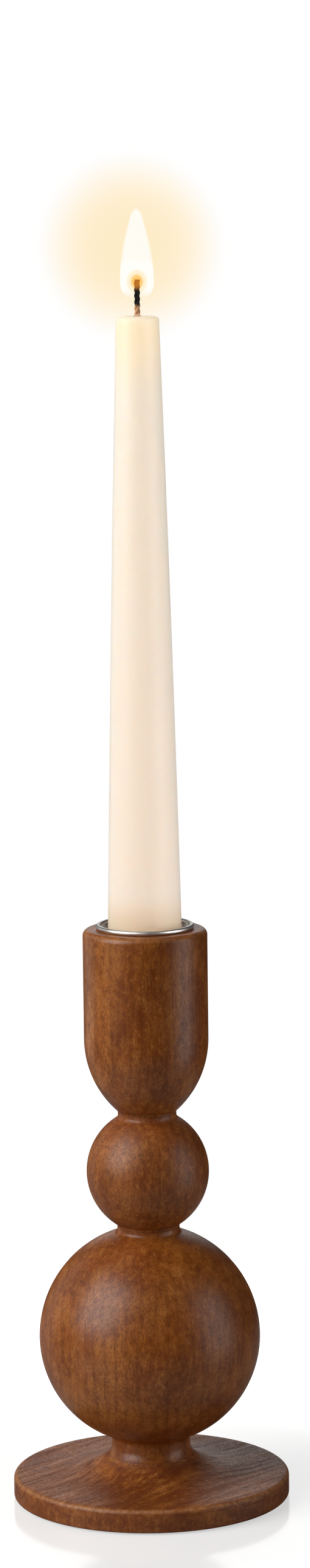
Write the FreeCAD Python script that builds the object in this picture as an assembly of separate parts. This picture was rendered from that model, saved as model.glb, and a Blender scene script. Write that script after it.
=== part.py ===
import FreeCAD, Part
import math
import os
from FreeCAD import Vector

# Turned wooden pricket candle stand: a disc foot, a ball, a bead and a cup on one upright axis,
# a drop-in metal liner with a spike, and a taper candle on that spike. Millimetres, +Z up,
# with the origin at the middle of the felt pad's underside.

# Clearances
glue_clearance = 0.02       # radial play of a glued dowel, tenon, screw or wick
loose_clearance = 0.3       # play of what is set in or lifted out by hand
cut_overrun = 1.0           # how far a cutter runs past the face it opens

# Felt pad, set into the underside of the foot
felt_radius = 38.0
felt_thickness = 1.0
felt_recess_depth = 0.5

# Foot, a flat-sawn disc with a swept-up middle
foot_radius = 42.2
foot_rim_thickness = 7.1
foot_seat_thickness = 12.9
foot_top_round = 1.5
foot_bottom_round = 0.9
foot_sweep_radius = 33.0    # where the hollow sweep runs out into the flat top
foot_counterbore_depth = 4.6

# Ball, with a short flared base that carries the sweep of the foot on to the neck
ball_radius = 33.7
ball_upper_setback = 0.2    # how far beyond the axis the centre of the upper arc lies
ball_lower_advance = 0.95   # how far before the axis the centre of the lower arc lies
ball_base_height = 3.2      # from the seat to the narrowest place of the foot neck
foot_neck_radius = 11.95
foot_neck_straight = 1.42   # from the narrowest place of the sweep up to the cove
foot_neck_cove = 2.0
tenon_radius = 8.0
tenon_length = 4.5
tenon_end_gap = 0.2

# Bead
bead_radius = 18.6
bead_setback = 0.7          # how far beyond the axis the centre of the bead's arc lies
lower_neck_radius = 9.5
lower_neck_top_cove = 0.9
lower_neck_top_straight = 0.22      # from the joint up to the cove
lower_neck_bottom_cove = 1.4
lower_neck_bottom_straight = 0.64   # from the cove up to the joint

# Cup
cup_radius = 18.85
cup_belly_arc = 30.0
cup_wall_height = 33.6      # the straight wall, up to the top of the lip
cup_lip_round = 2.0
upper_neck_radius = 8.9
upper_neck_top_cove = 0.8
upper_neck_top_straight = 0.13      # from the joint up to the cove
upper_neck_bottom_cove = 1.4
upper_neck_bottom_straight = 0.66   # from the cove up to the joint

# Dowel pins between ball and bead, and between bead and cup
dowel_radius = 4.0
lower_dowel_length = 26.0
upper_dowel_length = 22.0
dowel_chamfer = 0.8
dowel_end_gap = 0.5

# Screw and washer that draw the ball down on the foot
screw_radius = 2.25
screw_length = 34.0
screw_tip_length = 4.0
screw_hole_radius = 2.6
screw_head_radius = 4.3
screw_head_height = 2.6
screw_head_round = 1.1
screw_slot_width = 1.1
screw_slot_depth = 1.2
washer_radius = 6.0
washer_thickness = 1.0
counterbore_clearance = 0.4

# Liner, drawn from thin steel sheet, with a bell mouth and a rolled rim
liner_sheet = 0.6
liner_bore_radius = 11.4
liner_depth = 20.0          # from the top of the rolled rim to the floor inside
liner_corner_round = 1.5
liner_bell_radius = 3.0     # of the inner face of the bell mouth
liner_bell_turn_deg = 62.0
rim_centre_radius = 14.08
rim_wire_radius = 0.75
liner_bottom_room = 2.0     # free depth of the wood's bore under the liner
liner_side_room = 0.5
mouth_margin = 0.1          # flat wood left inside the line where the rolled rim rests

# Spike, riveted through the floor of the liner
spike_collar_radius = 3.2
spike_collar_height = 1.0
spike_radius = 2.0
spike_height = 14.0         # from the floor of the liner to the point
spike_point_radius = 0.25
spike_shank_radius = 1.5
spike_rivet_radius = 2.6
spike_rivet_height = 0.9

# Candle and wick
candle_radius = 11.1
candle_length = 202.8
candle_butt_chamfer = 1.5
candle_top_radius = 6.35
candle_taper_bulge = 0.25   # how far the taper stands out from a straight line, half way up
candle_shoulder_round = 1.2
candle_crown_rise = 0.8
wick_radius = 0.9
wick_showing = 10.1
wick_start_height = 22.0    # from the butt of the candle to the lower end of the wick

# Radii of the swells
ball_upper_arc = ball_radius + ball_upper_setback
ball_lower_arc = ball_radius - ball_lower_advance
bead_arc = bead_radius + bead_setback


def cove_rise(swell_arc, swell_radius, neck_radius, cove):
    """How far above or below the middle of a swell the centre of the cove that touches it lies."""
    swell_centre_radius = swell_radius - swell_arc
    across = neck_radius + cove - swell_centre_radius
    return math.sqrt((swell_arc + cove) ** 2 - across ** 2)


# Heights, stacked from the table up
foot_base = felt_thickness - felt_recess_depth
foot_rim_top = foot_base + foot_rim_thickness
foot_seat = foot_base + foot_seat_thickness
foot_neck = foot_seat + ball_base_height
foot_cove_height = foot_neck + foot_neck_straight
ball_equator = foot_cove_height + cove_rise(
    ball_lower_arc, ball_radius, foot_neck_radius, foot_neck_cove
)
ball_top_cove_height = ball_equator + cove_rise(
    ball_upper_arc, ball_radius, lower_neck_radius, lower_neck_bottom_cove
)
lower_joint = ball_top_cove_height + lower_neck_bottom_straight
bead_equator = lower_joint + lower_neck_top_straight + cove_rise(
    bead_arc, bead_radius, lower_neck_radius, lower_neck_top_cove
)
bead_top_cove_height = bead_equator + cove_rise(
    bead_arc, bead_radius, upper_neck_radius, upper_neck_bottom_cove
)
upper_joint = bead_top_cove_height + upper_neck_bottom_straight
cup_belly = upper_joint + upper_neck_top_straight + cove_rise(
    cup_belly_arc, cup_radius, upper_neck_radius, upper_neck_top_cove
)
cup_top = cup_belly + cup_wall_height
rim_centre_height = cup_top + rim_wire_radius
rim_top = rim_centre_height + rim_wire_radius
liner_floor = rim_top - liner_depth
liner_bottom = liner_floor - liner_sheet
cup_bore_floor = liner_bottom - liner_bottom_room
counterbore_floor = foot_base + foot_counterbore_depth
screw_head_top = counterbore_floor - washer_thickness
candle_top = liner_floor + candle_length


def at(radius, height):
    """A point of a turned outline."""
    return Vector(radius, 0, height)


def line(start, end):
    return Part.LineSegment(start, end).toShape()


def on_circle(centre, radius, angle_deg):
    """The point of a circle in the outline plane, with the angle counted from +X towards +Z."""
    angle = math.radians(angle_deg)
    return centre + at(radius * math.cos(angle), radius * math.sin(angle))


def arc(centre, radius, start_deg, end_deg):
    middle_deg = (start_deg + end_deg) / 2
    return Part.Arc(
        on_circle(centre, radius, start_deg),
        on_circle(centre, radius, middle_deg),
        on_circle(centre, radius, end_deg),
    ).toShape()


def angle_of(centre, point):
    """The angle, in degrees, at which a point is seen from a centre."""
    return math.degrees(math.atan2(point.z - centre.z, point.x - centre.x))


def turned(edges):
    """Close an outline, given in order, and turn it round the axis."""
    wire = Part.Wire(edges)
    face = Part.Face(wire)
    return face.revolve(at(0, 0), Vector(0, 0, 1), 360)


def turned_polygon(*points):
    """A turned solid whose outline has only straight sides."""
    loop = list(points) + [points[0]]
    return turned([line(start, end) for start, end in zip(loop, loop[1:])])


def cylinder(radius, bottom, top):
    return Part.makeCylinder(radius, top - bottom, at(0, bottom))


def cove_arcs(swell_centre, swell_arc, neck_radius, cove, side):
    """Where a rolling cove touches the straight neck and the round swell above or below it.

    side is 1 where the neck lies over the swell and -1 where it lies under it. The result is the
    cove's centre, its point on the neck and its point on the swell.
    """
    rise = cove_rise(swell_arc, swell_centre.x + swell_arc, neck_radius, cove)
    centre = at(neck_radius + cove, swell_centre.z + side * rise)
    towards = centre - swell_centre
    on_swell = swell_centre + towards * (swell_arc / towards.Length)
    return centre, at(neck_radius, centre.z), on_swell


def swell(centre, radius, lower, upper):
    """The arc of a swell from its lower point up to its upper point."""
    return arc(centre, radius, angle_of(centre, lower), angle_of(centre, upper))


def cove(centre, radius, start, end):
    """The hollow arc of a cove, which faces away from the axis."""
    first = angle_of(centre, start) % 360
    last = angle_of(centre, end) % 360
    return arc(centre, radius, first, last)


def sweep_angle(height):
    """The parameter of the foot's hollow sweep at a height: 0 on the neck, 90 on the flat."""
    share = (foot_neck - height) / (foot_neck - foot_rim_top)
    return math.degrees(math.asin(share))


def sweep_point(angle_deg):
    angle = math.radians(angle_deg)
    width = foot_sweep_radius - foot_neck_radius
    drop = foot_neck - foot_rim_top
    return at(foot_sweep_radius - width * math.cos(angle), foot_neck - drop * math.sin(angle))


def sweep(start_deg, end_deg):
    """A stretch of the quarter ellipse that joins the neck to the flat of the foot."""
    width = foot_sweep_radius - foot_neck_radius
    drop = foot_neck - foot_rim_top
    centre = at(foot_sweep_radius, foot_neck)
    if width >= drop:
        ellipse = Part.Ellipse(centre - at(width, 0), centre - at(0, drop), centre)
        turn = 0
    else:
        ellipse = Part.Ellipse(centre - at(0, drop), centre + at(width, 0), centre)
        turn = -90
    first = math.radians(min(start_deg, end_deg) + turn)
    last = math.radians(max(start_deg, end_deg) + turn)
    return Part.ArcOfEllipse(ellipse, first, last).toShape()


def make_felt_pad():
    return cylinder(felt_radius, 0, felt_thickness)


def make_foot_disc():
    seat_deg = sweep_angle(foot_seat)
    seat_edge = sweep_point(seat_deg)
    top_round_centre = at(foot_radius - foot_top_round, foot_rim_top - foot_top_round)
    bottom_round_centre = at(foot_radius - foot_bottom_round, foot_base + foot_bottom_round)
    disc = turned([
        line(at(0, foot_base), at(bottom_round_centre.x, foot_base)),
        arc(bottom_round_centre, foot_bottom_round, -90, 0),
        line(at(foot_radius, bottom_round_centre.z), at(foot_radius, top_round_centre.z)),
        arc(top_round_centre, foot_top_round, 0, 90),
        line(at(top_round_centre.x, foot_rim_top), at(foot_sweep_radius, foot_rim_top)),
        sweep(90, seat_deg),
        line(seat_edge, at(0, foot_seat)),
        line(at(0, foot_seat), at(0, foot_base)),
    ])
    recess = cylinder(
        felt_radius + loose_clearance, foot_base - cut_overrun, foot_base + felt_recess_depth
    )
    counterbore = cylinder(
        washer_radius + counterbore_clearance, foot_base - cut_overrun, counterbore_floor
    )
    screw_hole = cylinder(
        screw_hole_radius, counterbore_floor - cut_overrun, foot_seat + cut_overrun
    )
    tenon_bore = cylinder(
        tenon_radius + glue_clearance,
        foot_seat - tenon_length - tenon_end_gap,
        foot_seat + cut_overrun,
    )
    return disc.cut([recess, counterbore, screw_hole, tenon_bore])


def make_main_ball():
    seat_deg = sweep_angle(foot_seat)
    seat_edge = sweep_point(seat_deg)
    lower_centre = at(ball_radius - ball_lower_arc, ball_equator)
    upper_centre = at(ball_radius - ball_upper_arc, ball_equator)
    foot_cove, foot_on_neck, foot_on_ball = cove_arcs(
        lower_centre, ball_lower_arc, foot_neck_radius, foot_neck_cove, -1
    )
    top_cove, top_on_neck, top_on_ball = cove_arcs(
        upper_centre, ball_upper_arc, lower_neck_radius, lower_neck_bottom_cove, 1
    )
    tenon_end = foot_seat - tenon_length
    ball = turned([
        line(at(0, tenon_end), at(tenon_radius, tenon_end)),
        line(at(tenon_radius, tenon_end), at(tenon_radius, foot_seat)),
        line(at(tenon_radius, foot_seat), seat_edge),
        sweep(seat_deg, 0),
        line(at(foot_neck_radius, foot_neck), foot_on_neck),
        cove(foot_cove, foot_neck_cove, foot_on_neck, foot_on_ball),
        swell(lower_centre, ball_lower_arc, foot_on_ball, at(ball_radius, ball_equator)),
        swell(upper_centre, ball_upper_arc, at(ball_radius, ball_equator), top_on_ball),
        cove(top_cove, lower_neck_bottom_cove, top_on_ball, top_on_neck),
        line(top_on_neck, at(lower_neck_radius, lower_joint)),
        line(at(lower_neck_radius, lower_joint), at(0, lower_joint)),
        line(at(0, lower_joint), at(0, tenon_end)),
    ])
    pilot = cylinder(
        screw_radius + glue_clearance,
        tenon_end - cut_overrun,
        screw_head_top + screw_length + dowel_end_gap,
    )
    dowel_hole = cylinder(
        dowel_radius + glue_clearance,
        lower_joint - lower_dowel_length / 2 - dowel_end_gap,
        lower_joint + cut_overrun,
    )
    return ball.cut([pilot, dowel_hole])


def make_middle_bead():
    centre = at(bead_radius - bead_arc, bead_equator)
    low_cove, low_on_neck, low_on_bead = cove_arcs(
        centre, bead_arc, lower_neck_radius, lower_neck_top_cove, -1
    )
    high_cove, high_on_neck, high_on_bead = cove_arcs(
        centre, bead_arc, upper_neck_radius, upper_neck_bottom_cove, 1
    )
    bead = turned([
        line(at(0, lower_joint), at(lower_neck_radius, lower_joint)),
        line(at(lower_neck_radius, lower_joint), low_on_neck),
        cove(low_cove, lower_neck_top_cove, low_on_neck, low_on_bead),
        swell(centre, bead_arc, low_on_bead, at(bead_radius, bead_equator)),
        swell(centre, bead_arc, at(bead_radius, bead_equator), high_on_bead),
        cove(high_cove, upper_neck_bottom_cove, high_on_bead, high_on_neck),
        line(high_on_neck, at(upper_neck_radius, upper_joint)),
        line(at(upper_neck_radius, upper_joint), at(0, upper_joint)),
        line(at(0, upper_joint), at(0, lower_joint)),
    ])
    lower_hole = cylinder(
        dowel_radius + glue_clearance,
        lower_joint - cut_overrun,
        lower_joint + lower_dowel_length / 2 + dowel_end_gap,
    )
    upper_hole = cylinder(
        dowel_radius + glue_clearance,
        upper_joint - upper_dowel_length / 2 - dowel_end_gap,
        upper_joint + cut_overrun,
    )
    return bead.cut([lower_hole, upper_hole])


def make_cup_body():
    belly_centre = at(cup_radius - cup_belly_arc, cup_belly)
    lip_centre = at(cup_radius - cup_lip_round, cup_top - cup_lip_round)
    low_cove, low_on_neck, low_on_belly = cove_arcs(
        belly_centre, cup_belly_arc, upper_neck_radius, upper_neck_top_cove, -1
    )
    body = turned([
        line(at(0, upper_joint), at(upper_neck_radius, upper_joint)),
        line(at(upper_neck_radius, upper_joint), low_on_neck),
        cove(low_cove, upper_neck_top_cove, low_on_neck, low_on_belly),
        swell(belly_centre, cup_belly_arc, low_on_belly, at(cup_radius, cup_belly)),
        line(at(cup_radius, cup_belly), at(cup_radius, lip_centre.z)),
        arc(lip_centre, cup_lip_round, 0, 90),
        line(at(lip_centre.x, cup_top), at(0, cup_top)),
        line(at(0, cup_top), at(0, upper_joint)),
    ])
    return body.cut([make_liner_bore(), make_cup_dowel_hole()])


def make_liner_bore():
    """The space cut for the liner, with a rounded mouth under the bell."""
    bore_radius = liner_bore_radius + liner_sheet + liner_side_room
    mouth_radius = rim_centre_radius - mouth_margin
    mouth_round = mouth_radius - bore_radius
    mouth_centre = at(mouth_radius, cup_top - mouth_round)
    above = cup_top + cut_overrun
    return turned([
        line(at(0, cup_bore_floor), at(bore_radius, cup_bore_floor)),
        line(at(bore_radius, cup_bore_floor), at(bore_radius, mouth_centre.z)),
        arc(mouth_centre, mouth_round, 180, 90),
        line(at(mouth_radius, cup_top), at(mouth_radius, above)),
        line(at(mouth_radius, above), at(0, above)),
        line(at(0, above), at(0, cup_bore_floor)),
    ])


def make_cup_dowel_hole():
    return cylinder(
        dowel_radius + glue_clearance,
        upper_joint - cut_overrun,
        upper_joint + upper_dowel_length / 2 + dowel_end_gap,
    )


def make_dowel(joint, length):
    bottom = joint - length / 2
    top = joint + length / 2
    narrow = dowel_radius - dowel_chamfer
    return turned_polygon(
        at(0, bottom),
        at(narrow, bottom),
        at(dowel_radius, bottom + dowel_chamfer),
        at(dowel_radius, top - dowel_chamfer),
        at(narrow, top),
        at(0, top),
    )


def make_foot_screw():
    """A slotted round-head wood screw, head down."""
    head_bottom = screw_head_top - screw_head_height
    round_centre = at(screw_head_radius - screw_head_round, head_bottom + screw_head_round)
    tip = screw_head_top + screw_length
    screw = turned([
        line(at(0, head_bottom), at(round_centre.x, head_bottom)),
        arc(round_centre, screw_head_round, -90, 0),
        line(at(screw_head_radius, round_centre.z), at(screw_head_radius, screw_head_top)),
        line(at(screw_head_radius, screw_head_top), at(screw_radius, screw_head_top)),
        line(at(screw_radius, screw_head_top), at(screw_radius, tip - screw_tip_length)),
        line(at(screw_radius, tip - screw_tip_length), at(0, tip)),
        line(at(0, tip), at(0, head_bottom)),
    ])
    slot_length = 2 * (screw_head_radius + cut_overrun)
    slot = Part.makeBox(
        slot_length,
        screw_slot_width,
        screw_slot_depth + cut_overrun,
        Vector(-slot_length / 2, -screw_slot_width / 2, head_bottom - cut_overrun),
    )
    return screw.cut(slot)


def make_screw_washer():
    ring = cylinder(washer_radius, screw_head_top, counterbore_floor)
    hole = cylinder(
        screw_hole_radius, screw_head_top - cut_overrun, counterbore_floor + cut_overrun
    )
    return ring.cut(hole)


def make_socket_liner():
    """The drawn liner: floor, wall, bell mouth and rolled rim, with the rivet hole."""
    outer_radius = liner_bore_radius + liner_sheet
    inner_corner = at(liner_bore_radius - liner_corner_round, liner_floor + liner_corner_round)
    outer_round = liner_corner_round + liner_sheet
    bell_outer = liner_bell_radius - liner_sheet
    bell_middle = liner_bell_radius - liner_sheet / 2
    bell_deg = 180 - liner_bell_turn_deg
    reach = on_circle(at(0, 0), bell_middle, bell_deg)
    bell_centre = at(liner_bore_radius + liner_bell_radius, 0)
    run_out = (rim_centre_radius - bell_centre.x - reach.x) / math.sin(
        math.radians(liner_bell_turn_deg)
    )
    end_shift = on_circle(at(0, 0), run_out, 90 - liner_bell_turn_deg)
    bell_centre = at(bell_centre.x, rim_centre_height - reach.z - end_shift.z)
    inner_end = on_circle(bell_centre, liner_bell_radius, bell_deg)
    outer_end = on_circle(bell_centre, bell_outer, bell_deg)
    shell = turned([
        line(at(0, liner_bottom), at(inner_corner.x, liner_bottom)),
        arc(inner_corner, outer_round, -90, 0),
        line(at(outer_radius, inner_corner.z), at(outer_radius, bell_centre.z)),
        arc(bell_centre, bell_outer, 180, bell_deg),
        line(outer_end, outer_end + end_shift),
        line(outer_end + end_shift, inner_end + end_shift),
        line(inner_end + end_shift, inner_end),
        arc(bell_centre, liner_bell_radius, bell_deg, 180),
        line(at(liner_bore_radius, bell_centre.z), at(liner_bore_radius, inner_corner.z)),
        arc(inner_corner, liner_corner_round, 0, -90),
        line(at(inner_corner.x, liner_floor), at(0, liner_floor)),
        line(at(0, liner_floor), at(0, liner_bottom)),
    ])
    rolled_rim = Part.makeTorus(
        rim_centre_radius, rim_wire_radius, at(0, rim_centre_height), Vector(0, 0, 1)
    )
    rivet_hole = cylinder(
        spike_shank_radius + glue_clearance,
        liner_bottom - cut_overrun,
        liner_floor + cut_overrun,
    )
    return shell.fuse(rolled_rim).removeSplitter().cut(rivet_hole)


def make_pricket_spike():
    rivet_bottom = liner_bottom - spike_rivet_height
    collar_top = liner_floor + spike_collar_height
    point = liner_floor + spike_height
    return turned_polygon(
        at(0, rivet_bottom),
        at(spike_shank_radius, rivet_bottom),
        at(spike_rivet_radius, liner_bottom),
        at(spike_shank_radius, liner_bottom),
        at(spike_shank_radius, liner_floor),
        at(spike_collar_radius, liner_floor),
        at(spike_collar_radius, collar_top),
        at(spike_radius, collar_top),
        at(spike_point_radius, point),
        at(0, point),
    )


def make_spike_hole():
    """The hole that the spike and its collar make in the butt of the candle."""
    collar_top = liner_floor + spike_collar_height + loose_clearance
    return turned_polygon(
        at(0, liner_floor - cut_overrun),
        at(spike_collar_radius + loose_clearance, liner_floor - cut_overrun),
        at(spike_collar_radius + loose_clearance, collar_top),
        at(spike_radius + loose_clearance, collar_top),
        at(spike_point_radius + loose_clearance, liner_floor + spike_height + loose_clearance),
        at(0, liner_floor + spike_height + loose_clearance),
    )


def make_candle_wax():
    shoulder_centre = at(
        candle_top_radius - candle_shoulder_round,
        candle_top - candle_crown_rise - candle_shoulder_round,
    )
    taper_end = at(candle_top_radius, shoulder_centre.z)
    taper_middle = at(
        (candle_radius + candle_top_radius) / 2 + candle_taper_bulge,
        (rim_top + shoulder_centre.z) / 2,
    )
    wax = turned([
        line(at(0, liner_floor), at(candle_radius - candle_butt_chamfer, liner_floor)),
        line(
            at(candle_radius - candle_butt_chamfer, liner_floor),
            at(candle_radius, liner_floor + candle_butt_chamfer),
        ),
        line(at(candle_radius, liner_floor + candle_butt_chamfer), at(candle_radius, rim_top)),
        Part.Arc(at(candle_radius, rim_top), taper_middle, taper_end).toShape(),
        arc(shoulder_centre, candle_shoulder_round, 0, 90),
        line(at(shoulder_centre.x, candle_top - candle_crown_rise), at(0, candle_top)),
        line(at(0, candle_top), at(0, liner_floor)),
    ])
    wick_bore = cylinder(
        wick_radius + glue_clearance,
        liner_floor + wick_start_height,
        candle_top + cut_overrun,
    )
    return wax.cut([make_spike_hole(), wick_bore])


def make_candle_wick():
    return cylinder(wick_radius, liner_floor + wick_start_height, candle_top + wick_showing)


pieces = {
    "felt_pad": make_felt_pad(),
    "foot_disc": make_foot_disc(),
    "main_ball": make_main_ball(),
    "middle_bead": make_middle_bead(),
    "cup_body": make_cup_body(),
    "lower_dowel": make_dowel(lower_joint, lower_dowel_length),
    "upper_dowel": make_dowel(upper_joint, upper_dowel_length),
    "foot_screw": make_foot_screw(),
    "screw_washer": make_screw_washer(),
    "socket_liner": make_socket_liner(),
    "pricket_spike": make_pricket_spike(),
    "candle_wax": make_candle_wax(),
    "candle_wick": make_candle_wick(),
}

os.makedirs("parts", exist_ok=True)
for name, shape in pieces.items():
    shape.exportStep("parts/" + name + ".step")
    box = shape.optimalBoundingBox()
    print(name, len(shape.Solids), "solid", round(shape.Volume), "mm3, from", round(box.ZMin, 2),
          "to", round(box.ZMax, 2), "mm high,", round(box.XLength, 2), "mm wide")
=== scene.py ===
import math

import bmesh
import bpy
from bpy.props import FloatProperty, FloatVectorProperty, IntProperty, PointerProperty
from mathutils import Matrix, Vector


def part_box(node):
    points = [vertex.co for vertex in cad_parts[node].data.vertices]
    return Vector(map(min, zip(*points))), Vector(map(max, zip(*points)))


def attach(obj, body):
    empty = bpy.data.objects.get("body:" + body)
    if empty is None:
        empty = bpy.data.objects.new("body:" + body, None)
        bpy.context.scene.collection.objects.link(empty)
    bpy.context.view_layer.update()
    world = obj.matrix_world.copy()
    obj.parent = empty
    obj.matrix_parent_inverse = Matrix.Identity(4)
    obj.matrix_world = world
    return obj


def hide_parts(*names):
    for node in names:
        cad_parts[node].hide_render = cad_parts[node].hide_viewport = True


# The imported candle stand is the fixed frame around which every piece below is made.
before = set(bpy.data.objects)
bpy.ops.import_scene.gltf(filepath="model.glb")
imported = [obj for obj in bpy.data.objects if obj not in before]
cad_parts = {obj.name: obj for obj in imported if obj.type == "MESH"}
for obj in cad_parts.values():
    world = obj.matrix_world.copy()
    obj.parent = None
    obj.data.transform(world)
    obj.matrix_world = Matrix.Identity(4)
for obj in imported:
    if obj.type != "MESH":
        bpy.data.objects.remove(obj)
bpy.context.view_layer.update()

bl_info = {
    "name": "Pricket Candle Stand",
    "version": (1, 0, 0),
    "blender": (4, 5, 0),
    "location": "3D View > Sidebar > Candle Stand",
    "description": "A turned wooden candle stand with its metal liner, taper candle and flame",
    "category": "Object",
}

MM = 0.001
QUARTER = math.radians(90)
WHITE = (1, 1, 1, 1)
SMOOTH = {"interpolation_type": "SMOOTHSTEP"}


def top_of(node):
    """The height of a node's highest point."""
    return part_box(node)[1].z


def bottom_of(node):
    """The height of a node's lowest point."""
    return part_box(node)[0].z


def radius_of(node):
    """The largest radius of a turned node."""
    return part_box(node)[1].x


def length_mm(name, description, size_mm):
    """A length property whose default is given in millimetres."""
    return FloatProperty(
        name=name, description=description, default=size_mm * MM, min=0.0, precision=5,
        unit="LENGTH", subtype="DISTANCE",
    )


def angle(name, description, degrees):
    """An angle property whose default is given in degrees."""
    return FloatProperty(
        name=name, description=description, default=math.radians(degrees), subtype="ANGLE",
    )


def amount(name, description, default, **limits):
    """A plain number of at least nought."""
    return FloatProperty(name=name, description=description, default=default, min=0.0, **limits)


def place_of(name, description, place):
    """A point's coordinates in metres."""
    return FloatVectorProperty(
        name=name, description=description, default=place, size=3, unit="LENGTH",
        subtype="TRANSLATION",
    )


def linear(hex_colour):
    """An sRGB colour such as #A05A2C, turned to the linear values that the nodes take."""
    channels = []
    for start in (1, 3, 5):
        value = int(hex_colour[start:start + 2], 16) / 255
        if value <= 0.04045:
            channels.append(value / 12.92)
        else:
            channels.append(((value + 0.055) / 1.055) ** 2.4)
    return (*channels, 1.0)


def colour(name, description, hex_colour):
    """A colour property whose default is given in sRGB hex."""
    return FloatVectorProperty(
        name=name, description=description, default=linear(hex_colour), size=4, min=0.0, max=1.0,
        subtype="COLOR",
    )


class WoodSizes(bpy.types.PropertyGroup):
    """Sizes of the foot, ball, bead and cup."""

    foot_radius: length_mm("Foot radius", "Radius of the foot", radius_of("foot_disc") / MM)
    foot_rim_top: length_mm("Foot rim top", "Height of the flat top of the foot", 7.6)
    foot_top_round: length_mm("Foot top round", "Rounding of the upper edge of the foot", 1.5)
    foot_bottom_round: length_mm("Foot bottom round", "Rounding of the lower edge", 0.9)
    foot_recess_radius: length_mm("Felt recess", "Radius of the recess for the felt", 38.3)
    foot_recess_depth: length_mm("Recess depth", "Depth of the recess for the felt", 0.5)
    counterbore_radius: length_mm("Counterbore", "Radius of the counterbore for the washer", 6.4)
    screw_hole_radius: length_mm("Screw hole", "Radius of the screw hole", 2.6)
    pilot_radius: length_mm("Pilot hole", "Radius of the screw's hole in the ball", 2.27)
    sweep_radius: length_mm("Sweep radius", "Where the hollow sweep meets the flat top", 33.0)
    foot_neck_radius: length_mm("Foot neck", "Radius of the neck over the foot", 11.95)
    foot_neck: length_mm("Foot neck height", "Height of the narrowest place over the foot", 16.6)
    foot_neck_cove: length_mm("Foot cove", "Cove between the neck and the ball", 2.0)
    tenon_radius: length_mm("Tenon", "Radius of the ball's tenon in the foot", 8.0)
    ball_radius: length_mm("Ball radius", "Radius of the ball", radius_of("main_ball") / MM)
    ball_setback: length_mm("Ball setback", "How far past the axis the upper arc is centred", 0.2)
    ball_advance: length_mm("Ball advance", "How far off the axis the lower arc is centred", 0.95)
    ball_cove: length_mm("Ball top cove", "Cove between the ball and the lower neck", 1.4)
    ball_neck_length: length_mm("Ball neck", "Straight neck over the ball", 0.64)
    lower_neck_radius: length_mm("Lower neck", "Radius of the neck under the bead", 9.5)
    bead_radius: length_mm("Bead radius", "Radius of the bead", radius_of("middle_bead") / MM)
    bead_setback: length_mm("Bead setback", "How far past the axis the bead is centred", 0.7)
    bead_low_cove: length_mm("Bead lower cove", "Cove under the bead", 0.9)
    bead_low_length: length_mm("Bead lower neck", "Straight neck under the bead", 0.22)
    bead_high_cove: length_mm("Bead upper cove", "Cove over the bead", 1.4)
    upper_neck_radius: length_mm("Upper neck", "Radius of the neck under the cup", 8.9)
    cup_radius: length_mm("Cup radius", "Radius of the cup", radius_of("cup_body") / MM)
    cup_belly_arc: length_mm("Cup belly", "Radius of the arc that draws the cup in below", 30.0)
    cup_wall: length_mm("Cup wall", "Height of the straight wall of the cup", 33.6)
    cup_low_cove: length_mm("Cup cove", "Cove under the cup", 0.8)
    cup_lip_round: length_mm("Cup lip", "Rounding of the lip", 2.0)
    cup_bore_radius: length_mm("Cup bore", "Radius of the bore for the liner", 12.5)
    cup_bore_floor: length_mm("Bore floor", "Height of the floor of that bore", 154.99)
    cup_mouth_radius: length_mm("Cup mouth", "Radius at which the bore's mouth opens", 13.98)
    dowel_hole_radius: length_mm("Dowel hole", "Radius of the holes for the dowel pins", 4.02)
    dowel_end_gap: length_mm("Dowel end gap", "Free room at the ends of the dowel pins", 0.5)
    joint_ease: length_mm("Joint ease", "Rounding of the edges where two pieces meet", 0.16)
    turn_steps: IntProperty(
        name="Turn steps", description="Faces round the axis of a turned piece", default=192, min=3,
    )


class MetalSizes(bpy.types.PropertyGroup):
    """Sizes of the liner, its spike and the thread of the foot's screw."""

    sheet: length_mm("Sheet", "Thickness of the liner's sheet", 0.6)
    bore_radius: length_mm("Liner bore", "Inner radius of the liner", 11.4)
    corner_round: length_mm("Liner corner", "Inner rounding between wall and floor", 1.5)
    bell_radius: length_mm("Bell mouth", "Radius of the inner face of the bell mouth", 3.0)
    bell_turn: angle("Bell turn", "How far the bell mouth turns outwards", 62)
    rim_wire: length_mm("Rolled rim", "Radius of the rolled rim's section", 0.75)
    rivet_hole_radius: length_mm("Rivet hole", "Radius of the hole in the liner's floor", 1.52)
    spike_radius: length_mm("Spike", "Radius of the spike over its collar", 2.0)
    spike_point: length_mm("Spike point", "Radius of the blunted point", 0.25)
    spike_collar_radius: length_mm("Spike collar", "Radius of the collar", 3.2)
    spike_collar_height: length_mm("Collar height", "Height of the collar", 1.0)
    spike_shank_radius: length_mm("Spike shank", "Radius of the riveted shank", 1.5)
    spike_rivet_radius: length_mm("Rivet", "Radius of the riveted end", 2.6)
    edge_round: length_mm("Edge round", "Rounding of the spike's turned edges", 0.25)
    thread_pitch: length_mm("Thread pitch", "Rise of the screw's thread in a turn", 1.9)
    thread_depth: length_mm("Thread depth", "How far the thread stands out of the shank", 0.5)
    shank_radius: length_mm("Screw shank", "Radius of the screw's shank", 2.25)
    thread_start: length_mm("Thread start", "Plain shank over the screw's head", 9.0)
    screw_tip: length_mm("Screw tip", "Length of the screw's pointed end", 4.0)


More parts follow.
